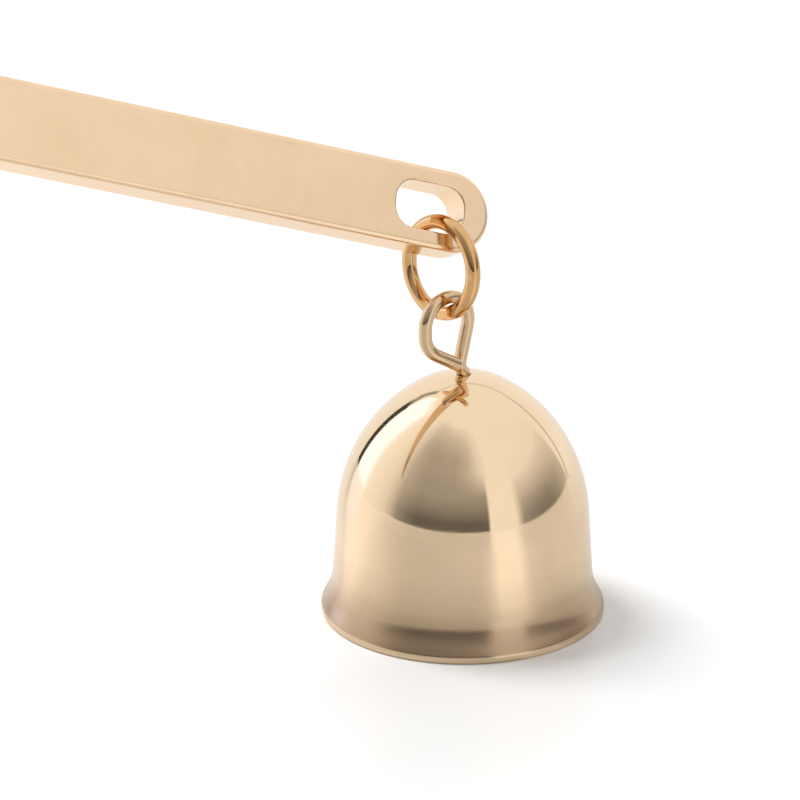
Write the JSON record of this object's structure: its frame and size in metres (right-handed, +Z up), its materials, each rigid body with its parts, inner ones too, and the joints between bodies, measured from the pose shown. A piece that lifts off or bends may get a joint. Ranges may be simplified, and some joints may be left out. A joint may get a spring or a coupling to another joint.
{
  "type": "candle snuffer",
  "caption": "Candle snuffer: a flared bell hanging by a wire eye and a jump ring from the slotted end of a long flat handle.",
  "frame": {"origin": "centre of the bell's rim, in the plane of the rim", "axes": "+Z up the axis of the hanging bell, X along the handle's direction seen from above with the grip towards -X, -Y to the front"},
  "size_m": [0.179, 0.028, 0.0962],
  "materials": {
    "handle_gold": "polished gold plate with fine brushing",
    "ring_gold": "polished yellow gold plate",
    "eye_gold": "polished gold plate",
    "bell_gold": "mirror-polished pale gold plate"
  },
  "bodies": {
    "handle": {"handle": "handle_gold"},
    "ring": {"jump_ring": "ring_gold"},
    "eye": {"bell_eye": "eye_gold"},
    "bell": {"bell": "bell_gold"}
  },
  "joints": [
    {"name": "ring_swing", "type": "hinge", "parent": "handle", "child": "ring", "pos_m": [-0.00214, 0.00093, 0.03658], "axis": [-0.9327, -0.3524, 0.0767], "range_deg": [-75, 75]},
    {"name": "eye_swing", "type": "hinge", "parent": "ring", "child": "eye", "pos_m": [-0.00209, -0.00069, 0.0313], "axis": [0.3598, -0.8937, 0.2681], "range_deg": [-60, 80]},
    {"name": "bell_swivel", "type": "hinge", "parent": "eye", "child": "bell", "pos_m": [0, 0, 0.0246], "axis": [0, 0, 1], "continuous": true}
  ]
}
